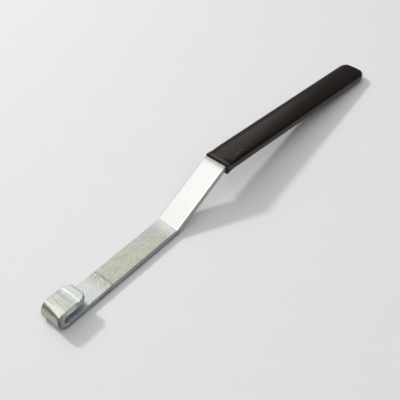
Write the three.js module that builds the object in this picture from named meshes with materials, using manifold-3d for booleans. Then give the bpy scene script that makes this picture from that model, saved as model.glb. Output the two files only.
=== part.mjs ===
// Hive tool: a flat steel bar with a folded hook, two bends and a vinyl-sleeved handle.
// Millimetres, +Z up. The origin is on the underside of the flat working section, at the middle of
// its length and width. The hook points towards -X and the handle runs towards +X.

import * as THREE from 'three';
import * as BufferGeometryUtils from 'three/addons/utils/BufferGeometryUtils.js';
import Module from 'manifold-3d';

const wasm = await Module();
wasm.setup();

// Bar stock
const barWidth = 15;
const barThickness = 4;

// Flat working section, from the start of the hook's curl to the start of the first bend
const flatLength = 85.8;

// Hook: the bar's end folded back over the flat section
const slotHeight = 4.8;
const hookLength = 21.4;
const flangeDip = THREE.MathUtils.degToRad(1.8);
const curlTopRadius = 4.5;
const curlBottomRadius = 7;
const tipChamferLength = 3;
const tipChamferWidth = 2.5;

// Groove across the top of the hook's flange
const grooveSetback = 4.9;
const grooveRun = 2;
const grooveReturn = 0.9;
const grooveDepth = 0.3;

// Riser between the two bends
const riseAngle = THREE.MathUtils.degToRad(24.3);
const riserStraight = 45.1;
const firstBendRadius = 2;
const secondBendRadius = 4.5;

// Grip: a closed-ended sleeve over the tang
const gripLength = 153.5;
const gripWidth = 18;
const gripThickness = 7.3;
const gripSectionRadius = 2;
const gripEndPlanRadius = 6.5;
const gripEndSideRadius = 3;
const gripEndWall = 4;
const gripBendOverlap = 0.7;
const gripClearance = 0.3;

const quarterTurn = Math.PI / 2;
const curveSegments = 20;
const steelColour = 0xbfc3ba;
const vinylColour = 0x1d1a18;

// Centre of the first bend, above the bar, and of the second bend, below it
const barMiddle = barThickness / 2;
const flatStart = -flatLength / 2;
const flatEnd = flatLength / 2;
const riserDirection = new THREE.Vector2(Math.cos(riseAngle), Math.sin(riseAngle));
const riserNormal = new THREE.Vector2(-riserDirection.y, riserDirection.x);
const firstBend = new THREE.Vector2(flatEnd, barThickness + firstBendRadius);
const secondBend = firstBend.clone()
  .addScaledVector(riserNormal, -(firstBendRadius + barThickness + secondBendRadius))
  .addScaledVector(riserDirection, riserStraight);

// The handle slopes down just enough for the rounded end of the grip to rest on the plane
// that the flat section lies on.
const handleSlope = slopeToReachTable();
const handleDirection = new THREE.Vector2(Math.cos(handleSlope), -Math.sin(handleSlope));
const handleNormal = new THREE.Vector2(-handleDirection.y, handleDirection.x);
const handleStart = secondBend.clone().addScaledVector(handleNormal, secondBendRadius + barMiddle);
const tangLength = gripLength - gripEndWall - gripBendOverlap;

// The mouth reaches back a little over the end of the second bend
const mouth = handleStart.clone().addScaledVector(handleDirection, -gripBendOverlap);

function slopeToReachTable() {
  const run = gripLength - gripBendOverlap - gripEndSideRadius;
  const rise = gripThickness / 2 - gripEndSideRadius - secondBendRadius - barMiddle;
  const drop = secondBend.y - gripEndSideRadius;
  return Math.asin(drop / Math.hypot(run, rise)) - Math.atan2(rise, run);
}

// A closed three.js geometry as a manifold solid, and back
function solidFrom(geometry) {
  const bare = geometry.clone();
  bare.deleteAttribute('normal');
  bare.deleteAttribute('uv');
  const merged = BufferGeometryUtils.mergeVertices(bare, 1e-5);
  const mesh = new wasm.Mesh({
    numProp: 3,
    vertProperties: new Float32Array(merged.attributes.position.array),
    triVerts: new Uint32Array(merged.index.array),
  });
  return new wasm.Manifold(mesh);
}

function geometryFrom(solid) {
  const mesh = solid.getMesh();
  const geometry = new THREE.BufferGeometry();
  geometry.setAttribute('position', new THREE.BufferAttribute(new Float32Array(mesh.vertProperties), 3));
  geometry.setIndex(new THREE.BufferAttribute(new Uint32Array(mesh.triVerts), 1));
  geometry.computeVertexNormals();
  return geometry;
}

// Extrusion of an outline, centred on its plane, with the outline's axes turned to `across` and `up`
function prism(outline, depth, across, up) {
  const geometry = new THREE.ExtrudeGeometry(outline, { depth, bevelEnabled: false, curveSegments });
  geometry.translate(0, 0, -depth / 2);
  const along = new THREE.Vector3().crossVectors(across, up);
  geometry.applyMatrix4(new THREE.Matrix4().makeBasis(across, up, along));
  return solidFrom(geometry);
}

const xAxis = new THREE.Vector3(1, 0, 0);
const yAxis = new THREE.Vector3(0, 1, 0);
const zAxis = new THREE.Vector3(0, 0, 1);

// Side outline of the bar in (x, z)
function barOutline() {
  const outline = new THREE.Shape();
  const slotCentre = new THREE.Vector2(flatStart, barThickness + slotHeight / 2);
  const curlRadius = barThickness + slotHeight / 2;
  const curlFront = flatStart - curlRadius;
  const flangeAngle = quarterTurn - flangeDip;
  const flangeDirection = new THREE.Vector2(Math.cos(flangeDip), -Math.sin(flangeDip));
  const flangeNormal = new THREE.Vector2(Math.sin(flangeDip), Math.cos(flangeDip));
  const tipX = curlFront + hookLength;
  const onFlange = (x, height) => {
    const point = slotCentre.clone().addScaledVector(flangeNormal, slotHeight / 2 + height);
    return point.addScaledVector(flangeDirection, (x - point.x) / flangeDirection.x);
  };

  // Underside, from the hook to the end of the tang
  outline.moveTo(curlFront + curlBottomRadius, 0);
  outline.absarc(firstBend.x, firstBend.y, firstBendRadius + barThickness,
    -quarterTurn, riseAngle - quarterTurn, false);
  outline.absarc(secondBend.x, secondBend.y, secondBendRadius,
    quarterTurn + riseAngle, quarterTurn - handleSlope, true);
  const tangEnd = handleStart.clone().addScaledVector(handleDirection, tangLength);
  const tangEndBottom = tangEnd.clone().addScaledVector(handleNormal, -barMiddle);
  const tangEndTop = tangEnd.clone().addScaledVector(handleNormal, barMiddle);
  outline.lineTo(tangEndBottom.x, tangEndBottom.y);
  outline.lineTo(tangEndTop.x, tangEndTop.y);

  // Top, back to the hook, around the slot and along the flange's underside
  outline.absarc(secondBend.x, secondBend.y, secondBendRadius + barThickness,
    quarterTurn - handleSlope, quarterTurn + riseAngle, false);
  outline.absarc(firstBend.x, firstBend.y, firstBendRadius,
    riseAngle - quarterTurn, -quarterTurn, true);
  outline.absarc(slotCentre.x, slotCentre.y, slotHeight / 2, -quarterTurn, flangeAngle, true);
  const tipBottom = onFlange(tipX, 0);
  const tipTop = onFlange(tipX, barThickness);
  outline.lineTo(tipBottom.x, tipBottom.y);
  outline.lineTo(tipTop.x, tipTop.y);

  // Top of the flange with its groove, then the outside of the curl
  const grooveEnd = onFlange(tipX - grooveSetback, barThickness);
  const grooveFloor = onFlange(tipX - grooveSetback - grooveReturn, barThickness - grooveDepth);
  const grooveStart = onFlange(tipX - grooveSetback - grooveReturn - grooveRun, barThickness);
  outline.lineTo(grooveEnd.x, grooveEnd.y);
  outline.lineTo(grooveFloor.x, grooveFloor.y);
  outline.lineTo(grooveStart.x, grooveStart.y);
  const topCentreX = curlFront + curlTopRadius;
  const topCentre = onFlange(topCentreX, barThickness - curlTopRadius);
  outline.absarc(topCentreX, topCentre.y, curlTopRadius, flangeAngle, Math.PI, false);
  outline.absarc(curlFront + curlBottomRadius, curlBottomRadius, curlBottomRadius,
    Math.PI, Math.PI + quarterTurn, false);
  return { outline, tipX };
}

// Triangular prism that takes one corner off the flange's tip; side is +1 or -1
function tipCorner(tipX, side) {
  const over = 1;
  const edge = side * barWidth / 2;
  const inner = edge - side * tipChamferWidth;
  const slope = tipChamferWidth / tipChamferLength;
  const corner = new THREE.Shape();
  corner.moveTo(tipX - tipChamferLength - over, edge + side * over * slope);
  corner.lineTo(tipX + over, inner - side * over * slope);
  corner.lineTo(tipX + over, edge + side * over * slope);
  const height = 2 * barThickness;
  const bottom = barThickness + slotHeight / 2;
  return prism(corner, height, xAxis, yAxis).translate([0, 0, bottom + height / 2]);
}

function steelBar() {
  const { outline, tipX } = barOutline();
  const bar = prism(outline, barWidth, xAxis, zAxis)
    .subtract(tipCorner(tipX, 1))
    .subtract(tipCorner(tipX, -1));
  const material = new THREE.MeshStandardMaterial({ color: steelColour, roughness: 0.35, metalness: 1 });
  const mesh = new THREE.Mesh(geometryFrom(bar), material);
  mesh.name = 'steel_bar';
  return mesh;
}

function roundedRectangle(width, height, radius) {
  const x = width / 2 - radius;
  const y = height / 2 - radius;
  const shape = new THREE.Shape();
  shape.absarc(x, y, radius, 0, quarterTurn, false);
  shape.absarc(-x, y, radius, quarterTurn, Math.PI, false);
  shape.absarc(-x, -y, radius, Math.PI, Math.PI + quarterTurn, false);
  shape.absarc(x, -y, radius, -quarterTurn, 0, false);
  return shape;
}

// Outline from the grip's mouth to its far end, square at the mouth and rounded at the end
function roundEndedOutline(width, radius) {
  const x = gripLength - radius;
  const y = width / 2 - radius;
  const shape = new THREE.Shape();
  shape.moveTo(0, width / 2);
  shape.lineTo(0, -width / 2);
  shape.absarc(x, -y, radius, -quarterTurn, 0, false);
  shape.absarc(x, y, radius, 0, quarterTurn, false);
  return shape;
}

function tangCavity() {
  const over = 5;
  const depth = gripLength - gripEndWall + gripClearance + over;
  const half = new THREE.Vector2(barWidth / 2 + gripClearance, barMiddle + gripClearance);
  const section = new THREE.Shape([
    new THREE.Vector2(half.x, half.y),
    new THREE.Vector2(-half.x, half.y),
    new THREE.Vector2(-half.x, -half.y),
    new THREE.Vector2(half.x, -half.y),
  ]);
  return prism(section, depth, yAxis, zAxis).translate([depth / 2 - over, 0, 0]);
}

// Built along +X from its mouth, then placed on the tang
function vinylGrip() {
  const section = roundedRectangle(gripWidth, gripThickness, gripSectionRadius);
  const plan = roundEndedOutline(gripWidth, gripEndPlanRadius);
  const side = roundEndedOutline(gripThickness, gripEndSideRadius);
  const grip = prism(section, 2 * gripLength, yAxis, zAxis)
    .intersect(prism(plan, 2 * gripThickness, xAxis, yAxis))
    .intersect(prism(side, 2 * gripWidth, xAxis, zAxis))
    .subtract(tangCavity());
  const material = new THREE.MeshStandardMaterial({ color: vinylColour, roughness: 0.45, metalness: 0 });
  const mesh = new THREE.Mesh(geometryFrom(grip), material);
  mesh.name = 'vinyl_grip';
  mesh.position.set(mouth.x, 0, mouth.y);
  mesh.rotation.y = handleSlope;
  return mesh;
}

const hiveTool = new THREE.Group();
hiveTool.add(steelBar());
hiveTool.add(vinylGrip());

export default hiveTool;
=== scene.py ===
"""Looks of the hive tool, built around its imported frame.

Metres, +Z up. The tool lies along X with its hook at -X, and the flat section's underside is on z = 0.
The bar and the grip are swept meshes: a rounded section is carried along the side outline that the CAD
parts have, so that they fill nearly the same space.
"""

import math
from types import SimpleNamespace

import bpy
import bmesh
import numpy as np
from mathutils import Matrix, Vector


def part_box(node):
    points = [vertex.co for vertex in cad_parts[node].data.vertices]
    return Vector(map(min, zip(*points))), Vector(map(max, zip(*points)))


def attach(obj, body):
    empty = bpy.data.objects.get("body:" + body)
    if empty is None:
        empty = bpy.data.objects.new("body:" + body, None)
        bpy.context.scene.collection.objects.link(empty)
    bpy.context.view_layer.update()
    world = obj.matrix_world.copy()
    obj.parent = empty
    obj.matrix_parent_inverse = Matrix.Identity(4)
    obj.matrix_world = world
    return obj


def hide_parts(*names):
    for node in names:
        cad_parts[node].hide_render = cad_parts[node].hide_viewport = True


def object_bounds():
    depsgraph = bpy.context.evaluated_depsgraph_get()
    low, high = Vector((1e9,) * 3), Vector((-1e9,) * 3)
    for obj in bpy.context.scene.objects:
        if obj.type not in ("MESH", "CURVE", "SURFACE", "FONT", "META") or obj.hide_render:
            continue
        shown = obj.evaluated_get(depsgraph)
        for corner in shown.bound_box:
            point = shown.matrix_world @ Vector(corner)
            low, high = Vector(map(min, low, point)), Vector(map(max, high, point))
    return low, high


MM = 0.001
QUARTER_TURN = math.pi / 2

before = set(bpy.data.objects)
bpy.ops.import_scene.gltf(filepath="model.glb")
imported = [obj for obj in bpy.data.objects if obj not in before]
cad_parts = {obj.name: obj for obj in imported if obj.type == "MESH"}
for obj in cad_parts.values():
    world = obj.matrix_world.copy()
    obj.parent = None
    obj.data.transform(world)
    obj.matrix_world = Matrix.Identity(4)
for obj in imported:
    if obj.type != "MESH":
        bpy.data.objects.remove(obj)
cad_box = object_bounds()
bar_low, bar_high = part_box("steel_bar")
_, grip_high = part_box("vinyl_grip")

# Bar, as in the CAD part
BAR_HALF_WIDTH = bar_high.y
BAR_THICKNESS = 4 * MM
SLOT_RADIUS = 2.4 * MM
CURL_RADIUS = BAR_THICKNESS + SLOT_RADIUS
CURL_FRONT = bar_low.x
FLAT_START = CURL_FRONT + CURL_RADIUS
FLAT_END = -FLAT_START
HOOK_LENGTH = 21.4 * MM
TIP_X = CURL_FRONT + HOOK_LENGTH
FLANGE_DIP = math.radians(1.8)
RISE_ANGLE = math.radians(24.3)
RISER_STRAIGHT = 45.1 * MM
FIRST_BEND_RADIUS = 2 * MM
SECOND_BEND_RADIUS = 4.5 * MM

# Fine shape of the bar. The hook is not quite the same on both sides: its curl is squarer at the top
# on the -Y side and at the bottom on the +Y side.
BAR_EDGE_RADIUS = 0.4 * MM
CURL_TOP_RADIUS = 3.8 * MM
CURL_TOP_RADIUS_TWIST = 1.5 * MM
CURL_BOTTOM_RADIUS = 7 * MM
CURL_BOTTOM_SQUARING = 3 * MM
CURL_FRONT_TWIST = 0.3 * MM
CURL_SWELL = 0.035
CURL_SADDLE = 0.1 * MM
FLANGE_TWIST = 0.22 * MM
SHOULDER_START = -41.5 * MM
SHOULDER_DROP = 0.7 * MM
TIP_CHAMFER_LENGTH = 3 * MM
TIP_CHAMFER_WIDTH = 2.5 * MM
TIP_EDGE_RADIUS = 0.5 * MM
TIP_CORNER_SOFTNESS = 0.15

# Groove across the hook's flange, bowed towards the curl at the bar's edges
GROOVE_SETBACK = 4.6 * MM
GROOVE_RETURN = 0.6 * MM
GROOVE_RUN = 1.9 * MM
GROOVE_DEPTH = 0.28 * MM
GROOVE_BOW = 0.6 * MM

# Two narrow tool marks across the hook, the first one askew and the second one only at the +Y edge
MARK_HALF_WIDTH = 0.22 * MM
MARK_DEPTH = 0.035 * MM
FIRST_MARK_X = -41.35 * MM
FIRST_MARK_SKEW = 0.118
SECOND_MARK_X = -43.9 * MM

# Grip, as in the CAD part
GRIP_LENGTH = 153.5 * MM
GRIP_HALF_WIDTH = grip_high.y + 0.25 * MM
GRIP_HALF_THICKNESS = 3.65 * MM
GRIP_END_WALL = 4 * MM
GRIP_END_SIDE_RADIUS = 3 * MM
GRIP_END_PLAN_RADIUS = 6.5 * MM
GRIP_BEND_OVERLAP = 0.7 * MM
TANG_LENGTH = GRIP_LENGTH - GRIP_END_WALL - GRIP_BEND_OVERLAP

# Fine shape of the grip. It hugs the bar at its mouth, a little more on the +Y side, dips slightly
# behind the lip and swells to its full size after that.
GRIP_SECTION_RADIUS = 2.2 * MM
GRIP_CROWN = 0.8 * MM
MOUTH_CROWN = 0.12 * MM
MOUTH_NARROWING = 0.35 * MM
MOUTH_SIDE_SHIFT = 0.35 * MM
MOUTH_THINNING = 0.05 * MM
MOUTH_DIP = 0.35 * MM
MOUTH_DIP_PLACE = 6.5 * MM
MOUTH_DIP_SPREAD = 3.5 * MM
MOUTH_DROP = 0.18 * MM
MOUTH_TAPER = 5 * MM
CROWN_TAPER = 5 * MM
GRIP_SIDE_SHIFT = 0.15 * MM
MOUTH_EDGE_RADIUS = 0.45 * MM
MOUTH_SECTION_RADIUS = 1.0 * MM
SLEEVE_CLEARANCE = 0.03 * MM

# Mesh density. Stations crowd towards the tip and towards the mouth.
FLANGE_STATIONS = 110
FLANGE_CROWDING = 1.1
CURL_ARC_STATIONS = 20
CURL_FRONT_STATIONS = 4
FLAT_STATIONS = 60
FIRST_BEND_STATIONS = 12
RISER_STATIONS = 40
SECOND_BEND_STATIONS = 24
TANG_STATIONS = 30
GRIP_STATIONS = 90
GRIP_CROWDING = 1.6
BAR_SECTION_COUNTS = (30, 5, 6)
GRIP_SECTION_COUNTS = (34, 8, 9)


def rgb(red, green, blue):
    return (red, green, blue, 1.0)


# Colours and gloss of the zinc
ZINC_PLAIN = rgb(0.760, 0.765, 0.730)
ZINC_COOL = rgb(0.730, 0.755, 0.735)
ZINC_TINTED = rgb(0.540, 0.552, 0.450)
ZINC_TINTED_COOL = rgb(0.515, 0.530, 0.485)
# Pale zinc near the hook, also used as a painted highlight before the first bend
ZINC_PALE = rgb(0.700, 0.750, 0.720)
ZINC_ROSY = rgb(0.740, 0.690, 0.640)
ZINC_HOOK = rgb(0.690, 0.690, 0.600)
ZINC_HOOK_DARK = rgb(0.500, 0.490, 0.420)
# Painted highlight on the curl's tool-worked zone
ZINC_WORKED = rgb(0.800, 0.810, 0.735)
ZINC_SHEARED = rgb(0.420, 0.435, 0.445)
# Lighter copies of the side colour on the riser and the flange: painted reflections
ZINC_RISER_SIDE = rgb(0.510, 0.505, 0.475)
ZINC_FLANGE_SIDE = rgb(0.760, 0.800, 0.790)
# Painted shade inside the hook's slot
ZINC_SLOT = rgb(0.500, 0.560, 0.600)
# Painted shade on the bar just before the grip's mouth
ZINC_MOUTH = rgb(0.570, 0.600, 0.530)
ZINC_STAIN = rgb(0.330, 0.280, 0.210)
ZINC_PIT = rgb(0.280, 0.270, 0.240)
ZINC_ROUGHNESS = 0.16

# About the mean of the zinc's uneven shade, which is taken off again
ZINC_UNEVEN_MEAN = 0.62

# Places on the bar that the zinc's look follows, in millimetres
# Middle of the curl's tool-worked zone, which is also painted lighter as a highlight
WORKED_X = -44.0
# Height of the painted dark reflection band across the curl's front
FRONT_BAND_Z = 7.6
FLANGE_TOP_RANGE = (9.0, 11.0)
GROOVE_LIGHT_X = (TIP_X - GROOVE_SETBACK) / MM - 0.4
GROOVE_SHADE_X = (TIP_X - GROOVE_SETBACK - GROOVE_RETURN - GROOVE_RUN) / MM + 0.3
TIDE_X = -7.0
# Where a painted shade line crosses the first bend
BEND_LINE_X = 43.5

# Colours and gloss of the vinyl
VINYL_BROWN = rgb(0.0090, 0.0066, 0.0054)
VINYL_BLACK = rgb(0.0056, 0.0046, 0.0044)
VINYL_SHEEN = rgb(1.0, 0.80, 0.72)
# Lighter vinyl of rubbed lines, also used for a painted highlight line along the top
VINYL_RUBBED = rgb(0.024, 0.019, 0.017)
# Painted highlight along the mouth's rounded edge
VINYL_LIP = rgb(0.055, 0.046, 0.042)
VINYL_DUST = rgb(0.10, 0.085, 0.075)
VINYL_SCRATCH = rgb(0.42, 0.28, 0.10)
VINYL_ROUGHNESS = 0.14
VINYL_IOR = 1.45

# Places on the grip, in millimetres from its mouth and across it. A skew is millimetres across for
# each millimetre along.
# Middle of the painted highlight along the mouth's rounded edge
LIP_MIDDLE = 1.3
MATT_EDGE_ACROSS = 4.6
# Place and skew of the painted highlight line along the grip's top
LONG_LINE_ACROSS = 4.4
LONG_LINE_SKEW = 0.018
SCRATCH_MIDDLE = 15.5
SCRATCH_ACROSS = -5.27
SCRATCH_SKEW = 0.031

# Floor
FLOOR_LIGHT = rgb(0.785, 0.785, 0.788)
FLOOR_DARK = rgb(0.765, 0.765, 0.768)

# Camera
TOOL_MIDDLE = Vector(((cad_box[0].x + cad_box[1].x) / 2, 0, 0))
CAMERA_TARGET = Vector((74.35, 1.66, 0)) * MM
CAMERA_AZIMUTH = math.radians(-47.58)
CAMERA_ELEVATION = math.radians(45.31)
CAMERA_DISTANCE = 519 * MM
CAMERA_ROLL = math.radians(-1.85)
CAMERA_LENS = 75.9

# Lights: name, azimuth and elevation in degrees, distance and size in metres, brightness
WORLD_BRIGHTNESS = 0.13
KEY_LIGHT = ("key", -5, 41, 1.9, (0.205, 0.205), 119)
PANELS = (
    ("back_panel", 22, 42, 1.5, (2.0, 1.0), 0.85),
    ("side_panel", -28, 62, 1.5, (1.15, 1.35), 0.80),
    ("overhead_panel", 225, 70, 1.5, (1.8, 1.8), 1.12),
)


def direction(angle):
    return np.array([math.cos(angle), math.sin(angle)])


def arc(centre, radius, start, end, count):
    """Points in (x, z) on an arc, from start to end, both included."""
    angles = np.linspace(start, end, count)
    return np.array(centre) + radius * np.column_stack([np.cos(angles), np.sin(angles)])


def line(start, end, count):
    """Points in (x, z) on a line, from start to end, both included."""
    t = np.linspace(0, 1, count)[:, None]
    return np.array(start) * (1 - t) + np.array(end) * t


def smooth_step(low, high, value):
    t = np.clip((value - low) / (high - low), 0, 1)
    return t * t * (3 - 2 * t)


# Centres of the two bends, and the line of the handle
riser_direction = direction(RISE_ANGLE)
riser_normal = direction(RISE_ANGLE + QUARTER_TURN)
first_bend = np.array([FLAT_END, BAR_THICKNESS + FIRST_BEND_RADIUS])
second_bend = (
    first_bend
    - riser_normal * (FIRST_BEND_RADIUS + BAR_THICKNESS + SECOND_BEND_RADIUS)
    + riser_direction * RISER_STRAIGHT
)


def slope_to_reach_table():
    """The handle's downward slope, for which the grip's rounded end just touches z = 0."""
    run = GRIP_LENGTH - GRIP_BEND_OVERLAP - GRIP_END_SIDE_RADIUS
    rise = GRIP_HALF_THICKNESS - GRIP_END_SIDE_RADIUS - SECOND_BEND_RADIUS - BAR_THICKNESS / 2
    drop = second_bend[1] - GRIP_END_SIDE_RADIUS
    return math.asin(drop / math.hypot(run, rise)) - math.atan2(rise, run)


handle_slope = slope_to_reach_table()
handle_direction = direction(-handle_slope)
handle_normal = direction(QUARTER_TURN - handle_slope)
handle_start = second_bend + handle_normal * (SECOND_BEND_RADIUS + BAR_THICKNESS / 2)
mouth = handle_start - handle_direction * GRIP_BEND_OVERLAP


# ---------------------------------------------------------------- swept meshes


def section_loop(half_width, thickness, radius, columns, rows, corner):
    """A rounded rectangle as points (y, t): t runs from 0 to thickness. Every call with the same counts
    gives points that match one to one."""
    x = half_width - radius
    top = thickness - radius
    quarter = np.linspace(0, QUARTER_TURN, corner)

    def turn(centre_y, centre_t, start):
        return [
            (centre_y + radius * math.cos(start + a), centre_t + radius * math.sin(start + a))
            for a in quarter
        ]

    def between(start, end, count):
        steps = np.linspace(0, 1, count + 2)[1:-1]
        return [
            (start[0] + (end[0] - start[0]) * s, start[1] + (end[1] - start[1]) * s)
            for s in steps
        ]

    corners = [
        turn(x, top, 0),
        turn(-x, top, QUARTER_TURN),
        turn(-x, radius, 2 * QUARTER_TURN),
        turn(x, radius, 3 * QUARTER_TURN),
    ]
    sides = (columns, rows, columns, rows)
    loop = []
    for index, points in enumerate(corners):
        loop += points
        loop += between(points[-1], corners[(index + 1) % 4][0], sides[index])
    return np.array(loop)


def swept_mesh(name, rings):
    """A closed mesh through rings of points, each ring an array of the same number of (x, y, z)."""
    mesh = bpy.data.meshes.new(name)
    count = len(rings[0])
    faces = []
    for i in range(len(rings) - 1):
        for j in range(count):
            k = (j + 1) % count
            faces.append((i * count + j, (i + 1) * count + j, (i + 1) * count + k, i * count + k))
    last = (len(rings) - 1) * count
    faces.append(tuple(range(count)))
    faces.append(tuple(last + j for j in reversed(range(count))))
    mesh.from_pydata(np.concatenate(rings).tolist(), [], faces)
    finish_mesh(mesh)
    piece = bpy.data.objects.new(name, mesh)
    bpy.context.scene.collection.objects.link(piece)
    return piece


def finish_mesh(mesh):
    """Caps become triangles, faces point out, and the surface shades smoothly."""
    work = bmesh.new()
    work.from_mesh(mesh)
    bmesh.ops.triangulate(work, faces=[f for f in work.faces if len(f.verts) > 4])
    bmesh.ops.recalc_face_normals(work, faces=work.faces)
    work.to_mesh(mesh)
    work.free()
    mesh.polygons.foreach_set("use_smooth", [True] * len(mesh.polygons))
    mesh.update()


# ---------------------------------------------------------------- steel bar


def groove_depth(x, side):
    """How deep the groove is at x. It is bowed, and shallower towards the +Y edge of the bar."""
    setback = TIP_X - x - GROOVE_BOW * side * side
    floor = GROOVE_SETBACK + GROOVE_RETURN
    rise = (setback - GROOVE_SETBACK) / GROOVE_RETURN
    fall = (floor + GROOVE_RUN - setback) / GROOVE_RUN
    share = np.clip(np.minimum(rise, fall), 0, 1)
    return GROOVE_DEPTH * (0.9 - 0.25 * side - 0.2 * side * side) * share * share * (3 - 2 * share)


def mark_depth(x, side):
    """How deep the two tool marks are at x."""
    first = (x - FIRST_MARK_X - FIRST_MARK_SKEW * BAR_HALF_WIDTH * side) / MARK_HALF_WIDTH
    second = (x - SECOND_MARK_X) / MARK_HALF_WIDTH
    at_edge = smooth_step(0.1, 0.9, side)
    return MARK_DEPTH * (np.exp(-first * first) + at_edge * np.exp(-second * second))


def hook_outline(side):
    """Paired points (inside, outside) of the hook in (x, z), from its tip round the curl to the flat.
    side is -1 at the bar's -Y edge and 1 at its +Y edge."""
    slot_centre = np.array([FLAT_START, BAR_THICKNESS + SLOT_RADIUS])
    flange_direction = direction(-FLANGE_DIP)
    flange_normal = direction(QUARTER_TURN - FLANGE_DIP)
    front = CURL_FRONT + CURL_FRONT_TWIST * side
    top_radius = CURL_TOP_RADIUS + CURL_TOP_RADIUS_TWIST * side
    inner_top = slot_centre + SLOT_RADIUS * flange_normal
    outer_top = slot_centre + CURL_RADIUS * flange_normal

    def along(point, x):
        return point + flange_direction * (x - point[0]) / flange_direction[0]

    top_centre = along(outer_top - flange_normal * top_radius, front + top_radius)
    arc_top = top_centre + flange_normal * top_radius
    setbacks = np.linspace(0, 1, FLANGE_STATIONS) ** FLANGE_CROWDING
    inside_flange = along(inner_top, TIP_X) + np.outer(setbacks, inner_top - along(inner_top, TIP_X))
    outside_flange = along(outer_top, TIP_X) + np.outer(setbacks, arc_top - along(outer_top, TIP_X))
    depth = groove_depth(outside_flange[:, 0], side)
    outside_flange -= np.outer(depth, flange_normal)

    inside_curl, outside_curl = curl_outline(slot_centre, top_centre, top_radius, front, side)
    inside = np.concatenate([inside_flange, inside_curl])
    outside = np.concatenate([outside_flange, outside_curl])
    lower_flange(inside, outside, side, slot_centre[1], inner_top[1])
    return inside, outside


def curl_outline(slot_centre, top_centre, top_radius, front, side):
    """Paired points (inside, outside) round the curl, from the flange's end to the flat."""
    flange_end = QUARTER_TURN - FLANGE_DIP
    bottom_radius = CURL_BOTTOM_RADIUS - CURL_BOTTOM_SQUARING * smooth_step(0.4, 0.9, side)
    bottom_centre = np.array([front + bottom_radius, bottom_radius])
    top_arc = arc(top_centre, top_radius, flange_end, math.pi, CURL_ARC_STATIONS)
    bottom_arc = arc(bottom_centre, bottom_radius, math.pi, 3 * QUARTER_TURN, CURL_ARC_STATIONS)
    front_line = line(top_arc[-1], bottom_arc[0], CURL_FRONT_STATIONS)
    outside = np.concatenate([top_arc[1:], front_line[1:-1], bottom_arc])
    inside = arc(slot_centre, SLOT_RADIUS, flange_end, 3 * QUARTER_TURN, len(outside) + 1)
    return inside[1:], outside


def lower_flange(inside, outside, side, slot_middle, slot_top):
    """Lowers the flange by its tool marks, its slight twist and the drop of its shoulder before the
    curl."""
    raised = smooth_step(BAR_THICKNESS, BAR_THICKNESS + 2 * SLOT_RADIUS, outside[:, 1])
    outside[:, 1] -= mark_depth(outside[:, 0], side) * raised
    outside[:, 1] -= FLANGE_TWIST * side * raised
    shoulder = np.clip((SHOULDER_START - outside[:, 0]) / (SHOULDER_START - CURL_FRONT), 0, 1)
    outside[:, 1] -= SHOULDER_DROP * shoulder * shoulder * raised
    inside[:, 1] -= FLANGE_TWIST * side * smooth_step(slot_middle, slot_top, inside[:, 1])


def shank_outline():
    """Paired points (inside, outside) in (x, z), from the curl along the flat, the riser and the tang."""
    flat_top = line((FLAT_START, BAR_THICKNESS), (FLAT_END, BAR_THICKNESS), FLAT_STATIONS)
    flat_bottom = line((CURL_FRONT + CURL_BOTTOM_RADIUS, 0), (FLAT_END, 0), FLAT_STATIONS)
    first = (-QUARTER_TURN, RISE_ANGLE - QUARTER_TURN, FIRST_BEND_STATIONS)
    second = (QUARTER_TURN + RISE_ANGLE, QUARTER_TURN - handle_slope, SECOND_BEND_STATIONS)
    first_top = arc(first_bend, FIRST_BEND_RADIUS, *first)
    first_bottom = arc(first_bend, FIRST_BEND_RADIUS + BAR_THICKNESS, *first)
    second_top = arc(second_bend, SECOND_BEND_RADIUS + BAR_THICKNESS, *second)
    second_bottom = arc(second_bend, SECOND_BEND_RADIUS, *second)
    riser_top = line(first_top[-1], second_top[0], RISER_STATIONS)
    riser_bottom = line(first_bottom[-1], second_bottom[0], RISER_STATIONS)
    half = handle_normal * BAR_THICKNESS / 2
    tang_end = handle_start + handle_direction * TANG_LENGTH
    tang_top = line(second_top[-1], tang_end + half, TANG_STATIONS)
    tang_bottom = line(second_bottom[-1], tang_end - half, TANG_STATIONS)
    inside = [flat_top[1:], first_top[1:], riser_top[1:], second_top[1:], tang_top[1:]]
    outside = [flat_bottom[1:], first_bottom[1:], riser_bottom[1:], second_bottom[1:], tang_bottom[1:]]
    return np.concatenate(inside), np.concatenate(outside)


def tip_half_width(setback):
    """Half the bar's width at a distance back from the tip, where the corners are cut off."""
    cut = max(0.0, 1 - setback / TIP_CHAMFER_LENGTH)
    softened = cut
    if cut <= TIP_CORNER_SOFTNESS:
        softened = 0.5 * (cut + cut * cut / TIP_CORNER_SOFTNESS)
    return BAR_HALF_WIDTH - TIP_CHAMFER_WIDTH * softened


def steel_bar():
    nominal = section_loop(BAR_HALF_WIDTH, BAR_THICKNESS, BAR_EDGE_RADIUS, *BAR_SECTION_COUNTS)
    shank = shank_outline()
    outlines = []
    for y, _ in nominal:
        hook = hook_outline(y / BAR_HALF_WIDTH)
        outlines.append([np.concatenate(pair) for pair in zip(hook, shank)])
    hook_stations = len(hook[0])
    curl_stations = hook_stations - FLANGE_STATIONS
    rings = tip_rings(nominal, outlines)
    for i in range(1, hook_stations + len(shank[0])):
        setback = TIP_CHAMFER_LENGTH
        if i < FLANGE_STATIONS:
            setback = TIP_X - outlines[0][1][i][0]
        # The tip's own rings already reach this far
        if setback <= TIP_EDGE_RADIUS * 1.05:
            continue
        swell = 0.0
        if FLANGE_STATIONS <= i < hook_stations:
            swell = math.sin(math.pi * (i - FLANGE_STATIONS) / curl_stations) ** 2
        rings.append(bar_ring(nominal, outlines, i, tip_half_width(setback), swell=swell))
    return swept_mesh("zinc_bar", rings)


def tip_rings(nominal, outlines):
    """Rings that round the tip's end."""
    rings = []
    for angle in np.linspace(0, QUARTER_TURN, 6):
        inset = TIP_EDGE_RADIUS * (1 - math.sin(angle))
        setback = TIP_EDGE_RADIUS * (1 - math.cos(angle))
        rings.append(bar_ring(nominal, outlines, 0, tip_half_width(setback), inset, setback))
    return rings


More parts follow.
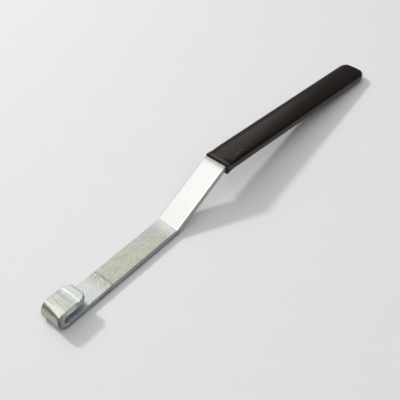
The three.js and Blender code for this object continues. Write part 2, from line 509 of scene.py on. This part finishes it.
def bar_ring(nominal, outlines, station, half_width, inset=0.0, setback=0.0, swell=0.0):
    """One ring of the bar: the nominal section, narrowed to half_width, inset all round and set back."""
    ring = []
    corner_space = BAR_HALF_WIDTH - BAR_EDGE_RADIUS
    edge = (half_width - BAR_EDGE_RADIUS) / corner_space
    for (y, t), (inside, outside) in zip(nominal, outlines):
        inner = min(abs(y), corner_space) * edge
        width = math.copysign(inner + max(0.0, abs(y) - corner_space), y)
        width *= 1 - inset / half_width
        share = 0.5 + (t / BAR_THICKNESS - 0.5) * (1 - 2 * inset / BAR_THICKNESS)
        across = inside[station] - outside[station]
        outward = -across / np.linalg.norm(across)
        backward = np.array([-outward[1], outward[0]])
        saddle = CURL_SADDLE * swell * (1 - share) * (2 * (y / BAR_HALF_WIDTH) ** 2 - 1)
        point = outside[station] + across * share + backward * setback + outward * saddle
        width *= 1 + (2 * share - 1) * CURL_SWELL * swell
        ring.append((point[0], width, point[1]))
    return np.array(ring)


# ---------------------------------------------------------------- vinyl grip


def grip_section(s):
    """Half width, half thickness, corner radius and crown of the grip at s from its mouth."""
    near_mouth = math.exp(-s / MOUTH_TAPER)
    half_width = GRIP_HALF_WIDTH - MOUTH_NARROWING * near_mouth
    dip = math.exp(-(((s - MOUTH_DIP_PLACE) / MOUTH_DIP_SPREAD) ** 2))
    half_thickness = GRIP_HALF_THICKNESS - MOUTH_THINNING * near_mouth - MOUTH_DIP * dip
    radius = GRIP_SECTION_RADIUS + (MOUTH_SECTION_RADIUS - GRIP_SECTION_RADIUS) * near_mouth
    crown = GRIP_CROWN + (MOUTH_CROWN - GRIP_CROWN) * math.exp(-s / CROWN_TAPER)
    left = GRIP_LENGTH - s
    if left < GRIP_END_PLAN_RADIUS:
        r = GRIP_END_PLAN_RADIUS
        half_width += math.sqrt(max(0.0, r * r - (r - left) ** 2)) - r
    if left < GRIP_END_SIDE_RADIUS:
        r = GRIP_END_SIDE_RADIUS
        half_thickness += math.sqrt(max(0.0, r * r - (r - left) ** 2)) - r
        crown *= left / r
    return half_width, half_thickness, min(radius, 0.95 * half_thickness), crown


def grip_ring(s, half_width, half_thickness, radius, crown, shift=0.0):
    """A ring of the grip at s from its mouth. shift moves it off the bar's middle, towards -Y and down."""
    loop = section_loop(half_width, 2 * half_thickness, radius, *GRIP_SECTION_COUNTS)
    y = loop[:, 0]
    t = loop[:, 1] - half_thickness
    bulge = crown * (1 - (y / half_width) ** 2) * (t / half_thickness)
    t = t * (1 - crown / half_thickness) + bulge - MOUTH_DROP * shift
    origin = mouth + handle_direction * s
    x = origin[0] + handle_normal[0] * t
    z = origin[1] + handle_normal[1] * t
    sideways = GRIP_SIDE_SHIFT - (MOUTH_SIDE_SHIFT + GRIP_SIDE_SHIFT) * shift
    return np.column_stack([x, y + sideways, z])


def vinyl_grip():
    rings = []
    # Inner wall, from its closed end out to the mouth
    inner_half_width = BAR_HALF_WIDTH + SLEEVE_CLEARANCE
    inner_half_thickness = BAR_THICKNESS / 2 + SLEEVE_CLEARANCE
    for s in np.linspace(GRIP_LENGTH - GRIP_END_WALL + SLEEVE_CLEARANCE, 0, 24):
        rings.append(grip_ring(s, inner_half_width, inner_half_thickness, BAR_EDGE_RADIUS, 0))
    # Round lip of the mouth
    for angle in np.linspace(0, QUARTER_TURN, 7):
        s = MOUTH_EDGE_RADIUS * (1 - math.cos(angle))
        inset = MOUTH_EDGE_RADIUS * (1 - math.sin(angle))
        half_width, half_thickness, radius, crown = grip_section(s)
        size = (half_width - inset, half_thickness - inset, radius - inset * 0.6)
        rings.append(grip_ring(s, *size, crown, math.exp(-s / MOUTH_TAPER)))
    # Outer wall and closed end
    body = GRIP_LENGTH - GRIP_END_PLAN_RADIUS
    shares = np.linspace(0, 1, GRIP_STATIONS)[1:] ** GRIP_CROWDING
    stations = MOUTH_EDGE_RADIUS + (body - MOUTH_EDGE_RADIUS) * shares
    turn = np.linspace(0, QUARTER_TURN, 26)[1:]
    stations = np.concatenate([stations, body + GRIP_END_PLAN_RADIUS * np.sin(turn)])
    for s in stations:
        rings.append(grip_ring(s, *grip_section(min(s, GRIP_LENGTH)), math.exp(-s / MOUTH_TAPER)))
    return swept_mesh("vinyl_sleeve", rings)


# ---------------------------------------------------------------- shader nodes


class Shading:
    """A new material, with short calls that add its nodes. Lengths in its patterns are millimetres."""

    def __init__(self, name):
        self.material = bpy.data.materials.new(name)
        self.material.use_nodes = True
        self.tree = self.material.node_tree
        self.shader = self.tree.nodes["Principled BSDF"]
        coordinates = self.add("ShaderNodeTexCoord")
        self.normal = coordinates.outputs["Normal"]
        self.place = self.vector("SCALE", coordinates.outputs["Object"], scale=1 / MM)

    def add(self, kind, inputs=(), **settings):
        node = self.tree.nodes.new(kind)
        for key, value in settings.items():
            setattr(node, key, value)
        for key, value in dict(inputs).items():
            self.put(node.inputs[key], value)
        return node

    def put(self, socket, value):
        """A socket takes either a value or the output of another node."""
        if isinstance(value, bpy.types.NodeSocket):
            self.tree.links.new(value, socket)
        else:
            socket.default_value = value

    def vector(self, operation, first, second=None, scale=None):
        inputs = {0: first}
        if second is not None:
            inputs[1] = second
        if scale is not None:
            inputs["Scale"] = scale
        node = self.add("ShaderNodeVectorMath", inputs, operation=operation)
        return node.outputs["Value" if operation == "DOT_PRODUCT" else "Vector"]

    def math(self, operation, *values, clamp=False):
        node = self.add("ShaderNodeMath", dict(enumerate(values)), operation=operation, use_clamp=clamp)
        return node.outputs[0]

    def parts(self, vector):
        return self.add("ShaderNodeSeparateXYZ", {0: vector}).outputs

    def ramp(self, value, low, high, start=0.0, end=1.0):
        """A smooth rise from start to end while the value goes from low to high."""
        inputs = {"Value": value, "From Min": low, "From Max": high, "To Min": start, "To Max": end}
        node = self.add("ShaderNodeMapRange", inputs, interpolation_type="SMOOTHSTEP")
        return node.outputs["Result"]

    def near(self, value, centre, half_width):
        """1 where the value is at the centre, falling smoothly to 0 at half_width from it."""
        distance = self.math("ABSOLUTE", self.math("SUBTRACT", value, centre))
        return self.ramp(distance, 0.0, half_width, 1.0, 0.0)

    def noise(self, frequency, detail=3.0, roughness=0.55, offset=(0, 0, 0)):
        """Noise from 0 to 1. frequency is per millimetre along X, Y and Z."""
        moved = self.vector("ADD", self.place, offset)
        stretched = self.vector("MULTIPLY", moved, frequency)
        inputs = {"Vector": stretched, "Scale": 1.0, "Detail": detail, "Roughness": roughness}
        return self.add("ShaderNodeTexNoise", inputs).outputs["Fac"]

    def specks(self, frequency, size, share, offset=(0, 0, 0)):
        """Small round dots: 1 inside a dot. share is how many of the cells hold one."""
        moved = self.vector("ADD", self.place, offset)
        inputs = {"Vector": moved, "Scale": frequency}
        cells = self.add("ShaderNodeTexVoronoi", inputs)
        dot = self.ramp(cells.outputs["Distance"], size * 0.5, size, 1.0, 0.0)
        chosen = self.math("LESS_THAN", self.parts(cells.outputs["Color"])[0], share)
        return self.math("MULTIPLY", dot, chosen)

    def mix(self, amount, first, second, blend="MIX"):
        inputs = {"Factor": amount, 6: first, 7: second}
        node = self.add("ShaderNodeMix", inputs, data_type="RGBA", blend_type=blend)
        return node.outputs[2]

    def total(self, *terms):
        """The sum of pairs (value, weight)."""
        result = self.math("MULTIPLY", *terms[0])
        for value, weight in terms[1:]:
            result = self.math("MULTIPLY_ADD", value, weight, result)
        return result

    def grey(self, value):
        return self.add("ShaderNodeCombineColor", {0: value, 1: value, 2: value}).outputs[0]

    def bump(self, height):
        """Surface relief. The height is in millimetres."""
        inputs = {"Strength": 1.0, "Distance": MM, "Height": height}
        self.put(self.shader.inputs["Normal"], self.add("ShaderNodeBump", inputs).outputs["Normal"])


# ---------------------------------------------------------------- materials


def hook_places(s, at):
    """Masks on the hook. The fold's centre is the end of the slot, and distances from it tell the bar's
    outer face from its inner one."""
    x, y, z = at.x, at.y, at.z
    slot_x = s.math("MINIMUM", s.math("SUBTRACT", x, FLAT_START / MM), 0.0)
    slot_z = s.math("SUBTRACT", z, (BAR_THICKNESS + SLOT_RADIUS) / MM)
    from_slot = s.math("SQRT", s.total((slot_x, slot_x), (slot_z, slot_z)))
    outer = s.ramp(from_slot, 3.0, 5.0)
    upper = s.math("MAXIMUM", s.ramp(z, 3.0, 5.0), s.ramp(x, -43.5, -42.0, 1.0, 0.0))
    on_top = s.ramp(z, *FLANGE_TOP_RANGE)
    at.hook = s.math("MULTIPLY", s.ramp(x, -36.5, -34.5, 1.0, 0.0), upper)
    at.folded = s.math("MULTIPLY", at.hook, outer)
    # Inside of the slot: rougher, and painted dark as shade
    in_slot = s.ramp(from_slot, 2.6, 3.4, 1.0, 0.0)
    at.in_slot = s.math("MULTIPLY", s.ramp(x, -29.0, -26.5, 1.0, 0.0), in_slot)
    # The curl's tool-worked zone: rougher and streaked across, and painted lighter as a highlight
    at.worked = s.math("MULTIPLY", s.near(x, WORKED_X, 4.2), s.ramp(z, 8.0, 11.0))
    at.tip_edge = s.math("MULTIPLY", s.near(x, TIP_X / MM, 1.3), on_top)
    # Painted shade on the curl's lower front, and a painted dark reflection band across it
    at.front = s.math("MULTIPLY", s.ramp(x, -47.2, -48.6), outer)
    at.front_band = s.math("MULTIPLY", s.near(z, FRONT_BAND_Z, 2.6), at.front)
    # The flange's side face, painted lighter as a reflection
    at.flange_side = s.math("MULTIPLY", at.side_face, s.math("MULTIPLY", at.hook, s.ramp(x, -49.0, -39.0)))

    # Painted shade on the rounded edges of the hook's outer face
    turned = s.math("MULTIPLY", s.ramp(at.sideways, 0.1, 0.45), s.ramp(at.sideways, 0.6, 0.9, 1.0, 0.0))
    by_edge = s.near(s.math("ABSOLUTE", y), BAR_HALF_WIDTH / MM - 0.15, 0.4)
    at.rim = s.math("MULTIPLY", s.math("MAXIMUM", turned, by_edge), at.folded)


def mark_places(s, at):
    """Masks for painted shade and highlights at the two tool mark creases and in the flange's groove."""
    x, y, z = at.x, at.y, at.z
    skewed = s.math("MULTIPLY_ADD", y, -FIRST_MARK_SKEW, x)
    first_mark = s.near(skewed, FIRST_MARK_X / MM, 0.3)
    second_mark = s.math("MULTIPLY", s.near(x, SECOND_MARK_X / MM, 0.3), s.ramp(y, 0.5, 4.0))
    off_sides = s.math("MULTIPLY", at.hook, s.math("SUBTRACT", 1.0, at.side_face))
    # Painted shade in the tool mark creases, and a painted highlight beside the first one
    at.marks = s.math("MULTIPLY", s.math("MAXIMUM", first_mark, second_mark), off_sides)
    at.bright_mark = s.math("MULTIPLY", s.near(skewed, FIRST_MARK_X / MM + 0.6, 0.45), at.hook)
    bowed = s.total((y, s.math("MULTIPLY", y, GROOVE_BOW * MM / BAR_HALF_WIDTH ** 2)), (x, 1.0))
    at.groove_shade = s.math("MULTIPLY", s.near(bowed, GROOVE_SHADE_X, 1.5), at.hook)
    on_top = s.ramp(z, *FLANGE_TOP_RANGE)
    at.groove_light = s.math("MULTIPLY", s.near(bowed, GROOVE_LIGHT_X, 0.7), on_top)


def shank_places(s, at):
    """Masks along the flat, the two bends and the riser, some for painted shade and highlight."""
    x, y, z = at.x, at.y, at.z
    # Painted shade low on the side faces, where the bar meets the floor
    at.foot = s.ramp(z, 0.2, 2.6, 1.0, 0.0)
    at.by_hook = s.ramp(x, -12.0, -9.0, 1.0, 0.0)
    at.on_flat = s.math("MULTIPLY", s.ramp(x, -10.5, -7.5), s.ramp(x, 34.0, 44.0, 1.0, 0.0))
    # A painted highlight on the flat just before the first bend, and a painted shade line across the bend
    at.before_bend = s.near(x, 41.6, 2.2)
    at.bend_line = s.near(s.math("MULTIPLY_ADD", y, -0.05, x), BEND_LINE_X, 0.55)
    at.up_riser = s.ramp(x, 43.0, 45.0)
    # Painted shade on the bar's last few millimetres before the grip's mouth
    at.by_mouth = s.ramp(x, mouth[0] / MM - 5.5, mouth[0] / MM - 1.0)
    # How much of the unevenness stays: the riser is smoother than the rest
    at.calm = s.math("SUBTRACT", 1.0, s.math("MULTIPLY", at.up_riser, 0.88))


def zinc_patterns(s):
    """Noise patterns that the zinc's colour, gloss and relief share."""
    return SimpleNamespace(
        lengthwise=s.noise((0.035, 2.4, 0.035), 5.0, 0.65),
        coarse_lines=s.noise((0.045, 0.95, 0.045), 4.0, 0.65, (31, 7, 0)),
        crosswise=s.noise((2.6, 0.045, 2.6), 5.0, 0.7),
        coarse_cross=s.noise((0.8, 0.03, 0.8), 3.0, 0.6, (5, 3, 9)),
        blotches=s.noise((0.10, 0.16, 0.16), 3.0, 0.6, (13, 0, 4)),
        mottle=s.noise((0.7, 0.9, 0.9), 4.0, 0.7, (3, 21, 8)),
        grain=s.noise((3.2, 3.2, 3.2), 2.0, 0.5),
        shear=s.noise((1.3, 0.1, 0.12), 4.0, 0.6, (2, 2, 2)),
        scratches=s.ramp(s.noise((0.09, 2.2, 0.09), 4.0, 0.75, (8, 1, 6)), 0.55, 0.66),
        pits=s.specks(0.42, 0.10, 0.35),
    )


def zinc_stain(s, at, pattern):
    """A wandering tide line across the flat with a few spots beside it, and a dark line on the tip's
    edge."""
    wander = s.total((s.noise((0.42, 0.42, 0.42), 5.0, 0.75), 5.0), (at.y, 0.02))
    tide_place = s.math("ADD", at.x, wander)
    broken = s.ramp(s.noise((0.9, 0.9, 0.9), 3.0, 0.6, (17, 4, 1)), 0.30, 0.52)
    tide = s.math("MULTIPLY", s.near(tide_place, TIDE_X, 1.5), broken)
    hook_side = s.math("MULTIPLY", s.ramp(at.x, -19.0, -11.0), s.ramp(tide_place, TIDE_X + 1.5, TIDE_X))
    spots = s.math("MULTIPLY", hook_side, s.ramp(pattern.mottle, 0.45, 0.56))
    stain = s.math("MAXIMUM", tide, s.math("MULTIPLY", spots, 0.75))
    stain = s.math("MULTIPLY", stain, s.ramp(at.x, 0.0, -3.0))
    stain = s.math("MAXIMUM", stain, at.tip_edge)
    return s.math("MULTIPLY", stain, s.ramp(at.z, 2.5, 4.0), clamp=True)


def zinc_tint(s, at, pattern):
    """The plate's tint in each region, before shade and stain. Some regions carry painted shade or light.
    """
    plain = s.mix(s.ramp(pattern.blotches, 0.35, 0.65), ZINC_PLAIN, ZINC_COOL)
    tinted = s.mix(s.ramp(pattern.blotches, 0.38, 0.62), ZINC_TINTED, ZINC_TINTED_COOL)
    colour = s.mix(at.on_flat, plain, tinted)
    colour = s.mix(s.math("MULTIPLY", at.by_hook, 0.8), colour, ZINC_PALE)
    rosy = s.math("MULTIPLY", s.ramp(pattern.mottle, 0.45, 0.65), 0.4)
    colour = s.mix(s.math("MULTIPLY", rosy, at.calm), colour, ZINC_ROSY)
    beige = s.mix(s.ramp(pattern.coarse_cross, 0.35, 0.7), ZINC_HOOK, ZINC_HOOK_DARK)
    colour = s.mix(s.math("MULTIPLY", at.folded, 0.85), colour, beige)
    # Painted highlight on the curl's tool-worked zone
    colour = s.mix(s.math("MULTIPLY", at.worked, 0.6), colour, ZINC_WORKED)
    # Painted highlight just before the first bend
    colour = s.mix(s.math("MULTIPLY", at.before_bend, 0.25), colour, ZINC_PALE)
    # Painted shade just before the grip's mouth
    colour = s.mix(s.math("MULTIPLY", at.by_mouth, 0.9), colour, ZINC_MOUTH)
    # Painted shade inside the slot
    colour = s.mix(at.in_slot, colour, ZINC_SLOT)
    # The side faces; those of the riser and the flange are painted lighter as reflections
    sheared = s.mix(at.up_riser, ZINC_SHEARED, ZINC_RISER_SIDE)
    colour = s.mix(at.side_face, colour, sheared)
    return s.mix(at.flange_side, colour, ZINC_FLANGE_SIDE)


def zinc_shade(s, at, pattern):
    """A factor on the tint: uneven all over, with painted shade and painted highlights in some regions."""
    streaks = s.math("SUBTRACT", pattern.crosswise, 0.5)
    uneven = s.total(
        (pattern.lengthwise, 0.2),
        (pattern.mottle, 0.5),
        (pattern.coarse_lines, 0.3),
        (pattern.grain, 0.3),
        (pattern.scratches, -0.2),
        (streaks, s.math("MULTIPLY", at.folded, 0.7)),
    )
    uneven = s.math("ADD", uneven, -ZINC_UNEVEN_MEAN)
    # Painted shade and painted highlights: each term darkens its mask, or lightens it where the weight is
    # negative
    dark = s.total(
        (at.foot, s.math("MULTIPLY", at.side_face, 0.5)),
        (at.bend_line, 0.28),
        (at.rim, 0.26),
        (at.worked, -0.10),
        (at.front, 0.16),
        (at.front_band, 0.12),
        (at.marks, 0.5),
        (at.bright_mark, -0.12),
        (at.groove_shade, 0.24),
        (at.groove_light, -0.16),
    )
    return s.math("SUBTRACT", s.math("MULTIPLY_ADD", uneven, at.calm, 1.0), dark)


def zinc_gloss(s, at, pattern, stain):
    """The zinc's roughness."""
    rougher = s.total(
        (pattern.lengthwise, 0.08),
        (pattern.mottle, 0.08),
        (at.folded, 0.04),
        (at.worked, 0.12),
        (at.up_riser, 0.03),
        (at.side_face, 0.16),
        (stain, 0.12),
        (at.by_hook, 0.04),
        (at.in_slot, 0.35),
        (at.front, 0.10),
    )
    return s.math("ADD", rougher, ZINC_ROUGHNESS)


def zinc_relief(s, at, pattern):
    """The height of the zinc's fine relief, in millimetres."""
    along = s.math("MULTIPLY", s.math("SUBTRACT", 1.0, at.folded), s.math("SUBTRACT", 1.0, at.side_face))
    return s.total(
        (s.math("MULTIPLY", pattern.lengthwise, s.math("MULTIPLY", along, at.calm)), 0.003),
        (s.math("MULTIPLY", pattern.crosswise, at.folded), 0.022),
        (s.math("MULTIPLY", pattern.crosswise, at.worked), 0.055),
        (s.math("MULTIPLY", pattern.shear, at.side_face), 0.03),
        (s.math("MULTIPLY", pattern.mottle, at.calm), 0.004),
        (s.math("MULTIPLY", pattern.grain, at.calm), 0.001),
        (pattern.pits, -0.02),
    )


def zinc_material():
    """Bright zinc plate: a drawn bar with lengthwise lines, a mottled tint on the flat section, a brown
    tide line near the hook, a smoother and paler riser, and a hook that tools have marked across. Shade,
    highlights and reflections are painted into its colour in places."""
    s = Shading("bright_zinc")
    x, y, z = s.parts(s.place)
    sideways = s.math("ABSOLUTE", s.parts(s.normal)[1])
    at = SimpleNamespace(x=x, y=y, z=z, sideways=sideways, side_face=s.ramp(sideways, 0.6, 0.95))
    hook_places(s, at)
    mark_places(s, at)
    shank_places(s, at)
    pattern = zinc_patterns(s)
    stain = zinc_stain(s, at, pattern)

    colour = s.mix(1.0, zinc_tint(s, at, pattern), s.grey(zinc_shade(s, at, pattern)), "MULTIPLY")
    colour = s.mix(s.math("MULTIPLY", stain, 0.8), colour, ZINC_STAIN)
    colour = s.mix(s.math("MULTIPLY", pattern.pits, 0.45), colour, ZINC_PIT)
    s.put(s.shader.inputs["Base Color"], colour)
    s.put(s.shader.inputs["Roughness"], zinc_gloss(s, at, pattern, stain))
    s.shader.inputs["Metallic"].default_value = 1.0
    s.bump(zinc_relief(s, at, pattern))
    return s.material


def golden_scratch(s, along, across):
    """Mask of a short broken scratch, a little askew."""
    line = s.math("MULTIPLY_ADD", along, SCRATCH_SKEW, SCRATCH_ACROSS)
    scratch = s.math("MULTIPLY", s.near(across, line, 0.24), s.near(along, SCRATCH_MIDDLE, 6.0))
    return s.math("MULTIPLY", scratch, s.ramp(s.noise((0.9, 1, 1), 2.0, 0.5), 0.36, 0.56))


def long_rubbed_line(s, along, across):
    """Mask of a faint painted highlight line beside the +Y edge, over most of the grip's length."""
    line = s.near(s.math("MULTIPLY_ADD", along, LONG_LINE_SKEW, across), LONG_LINE_ACROSS, 0.7)
    ends = s.math("MULTIPLY", s.ramp(along, 8.0, 14.0), s.ramp(along, 110.0, 60.0))
    return s.math("MULTIPLY", line, ends)


def vinyl_material():
    """Soft black vinyl with a satin skin: faint waves of the dipping, a fine grain, a few rubbed lines, a
    longer painted highlight line along the top, a painted highlight along the mouth's rounded edge, a
    short golden scratch, dust, a matt band along the top's +Y side, and a matt cut edge at the mouth."""
    s = Shading("black_vinyl")
    from_mouth = s.vector("SUBTRACT", s.place, (mouth[0] / MM, 0, mouth[1] / MM))
    along = s.vector("DOT_PRODUCT", from_mouth, (handle_direction[0], 0, handle_direction[1]))
    height = s.vector("DOT_PRODUCT", from_mouth, (handle_normal[0], 0, handle_normal[1]))
    across = s.parts(s.place)[1]
    on_top = s.ramp(height, 2.0, 3.0)
    cut_edge = s.ramp(along, 0.12, 0.4, 1.0, 0.0)
    matt_edge = s.math("MULTIPLY", s.ramp(across, MATT_EDGE_ACROSS, MATT_EDGE_ACROSS + 1.0), on_top)
    # Painted highlight along the mouth's rounded edge
    lip = s.math("MULTIPLY", s.near(along, LIP_MIDDLE, 1.3), s.ramp(height, 1.0, 3.0))
    scratch = s.math("MULTIPLY", golden_scratch(s, along, across), on_top)
    long_line = s.math("MULTIPLY", long_rubbed_line(s, along, across), on_top)

    waves = s.noise((0.035, 0.11, 0.11), 2.0, 0.5)
    clouds = s.noise((0.16, 0.3, 0.3), 3.0, 0.6, (7, 0, 3))
    grain = s.noise((3.0, 3.4, 3.4), 3.0, 0.6)
    rubbed = s.noise((0.04, 1.7, 0.3), 4.0, 0.7, (4, 9, 1))
    dust = s.specks(0.24, 0.055, 0.3)

    colour = s.mix(s.ramp(clouds, 0.35, 0.65), VINYL_BROWN, VINYL_BLACK)
    # Rubbed lines, and a painted highlight line along the top, share one lighter colour
    lines = s.math("MAXIMUM", s.math("MULTIPLY", s.ramp(rubbed, 0.6, 0.8), 0.4), long_line)
    colour = s.mix(lines, colour, VINYL_RUBBED)
    colour = s.mix(s.math("MULTIPLY", lip, 0.9), colour, VINYL_LIP)
    colour = s.mix(s.math("MULTIPLY", dust, 0.5), colour, VINYL_DUST)
    colour = s.mix(s.math("MULTIPLY", scratch, 0.8), colour, VINYL_SCRATCH)
    s.put(s.shader.inputs["Base Color"], colour)

    rougher = s.total((clouds, 0.08), (rubbed, 0.10), (cut_edge, 0.3), (scratch, 0.1), (matt_edge, 0.2))
    s.put(s.shader.inputs["Roughness"], s.math("ADD", rougher, VINYL_ROUGHNESS))
    s.shader.inputs["IOR"].default_value = VINYL_IOR
    s.shader.inputs["Specular Tint"].default_value = VINYL_SHEEN
    s.bump(s.total((waves, 0.12), (grain, 0.004), (rubbed, 0.003), (scratch, -0.03)))
    return s.material


def floor_material():
    """A pale, matt sheet with the faintest mottle."""
    s = Shading("pale_floor")
    mottle = s.noise((0.05, 0.05, 0.05), 4.0, 0.6)
    s.put(s.shader.inputs["Base Color"], s.mix(mottle, FLOOR_LIGHT, FLOOR_DARK))
    s.shader.inputs["Roughness"].default_value = 0.9
    s.shader.inputs["Specular IOR Level"].default_value = 0.1
    return s.material


# ---------------------------------------------------------------- stage


def add_floor():
    bpy.ops.mesh.primitive_plane_add(size=6.0, location=TOOL_MIDDLE)
    floor = bpy.context.object
    floor.name = "floor"
    floor.data.materials.append(floor_material())


def towards(azimuth, elevation):
    """A direction, by its azimuth clockwise from +Y and its elevation, in degrees."""
    a = math.radians(azimuth)
    e = math.radians(elevation)
    return Vector((math.sin(a) * math.cos(e), math.cos(a) * math.cos(e), math.sin(e)))


def add_area_light(name, azimuth, elevation, distance, size, brightness):
    """An area light that faces the middle of the tool. At brightness 1 it looks as bright as pure
    white."""
    aim = towards(azimuth, elevation)
    data = bpy.data.lights.new(name, "AREA")
    data.shape = "RECTANGLE"
    data.size, data.size_y = size
    data.energy = brightness * math.pi * size[0] * size[1]
    light = bpy.data.objects.new(name, data)
    bpy.context.scene.collection.objects.link(light)
    light.location = TOOL_MIDDLE + aim * distance
    light.rotation_mode = "QUATERNION"
    light.rotation_quaternion = aim.to_track_quat("Z", "Y")
    return light


def add_lights():
    """A small key light, soft panels behind the tool and overhead, and dim walls. The key light is
    there for the shadows: only the panels and the walls show in the bright metal."""
    world = bpy.data.worlds.new("studio")
    world.use_nodes = True
    background = world.node_tree.nodes["Background"]
    background.inputs["Color"].default_value = (1, 1, 1, 1)
    background.inputs["Strength"].default_value = WORLD_BRIGHTNESS
    bpy.context.scene.world = world
    key = add_area_light(*KEY_LIGHT)
    key.visible_glossy = False
    for panel in PANELS:
        add_area_light(*panel)


def add_camera():
    data = bpy.data.cameras.new("camera")
    data.sensor_width = 36
    data.lens = CAMERA_LENS
    camera = bpy.data.objects.new("camera", data)
    bpy.context.scene.collection.objects.link(camera)
    azimuth, elevation = CAMERA_AZIMUTH, CAMERA_ELEVATION
    back = Vector(
        (
            math.sin(azimuth) * math.cos(elevation),
            -math.cos(azimuth) * math.cos(elevation),
            math.sin(elevation),
        )
    )
    camera.location = CAMERA_TARGET + back * CAMERA_DISTANCE
    camera.rotation_mode = "QUATERNION"
    turn = Matrix.Rotation(CAMERA_ROLL, 4, "Z").to_quaternion()
    camera.rotation_quaternion = back.to_track_quat("Z", "Y") @ turn
    bpy.context.scene.camera = camera


def add_piece(piece, material, node):
    piece.data.materials.append(material)
    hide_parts(node)
    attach(piece, "root")


add_piece(steel_bar(), zinc_material(), "steel_bar")
add_piece(vinyl_grip(), vinyl_material(), "vinyl_grip")
add_floor()
add_lights()
add_camera()
bpy.context.scene.view_settings.view_transform = "Standard"
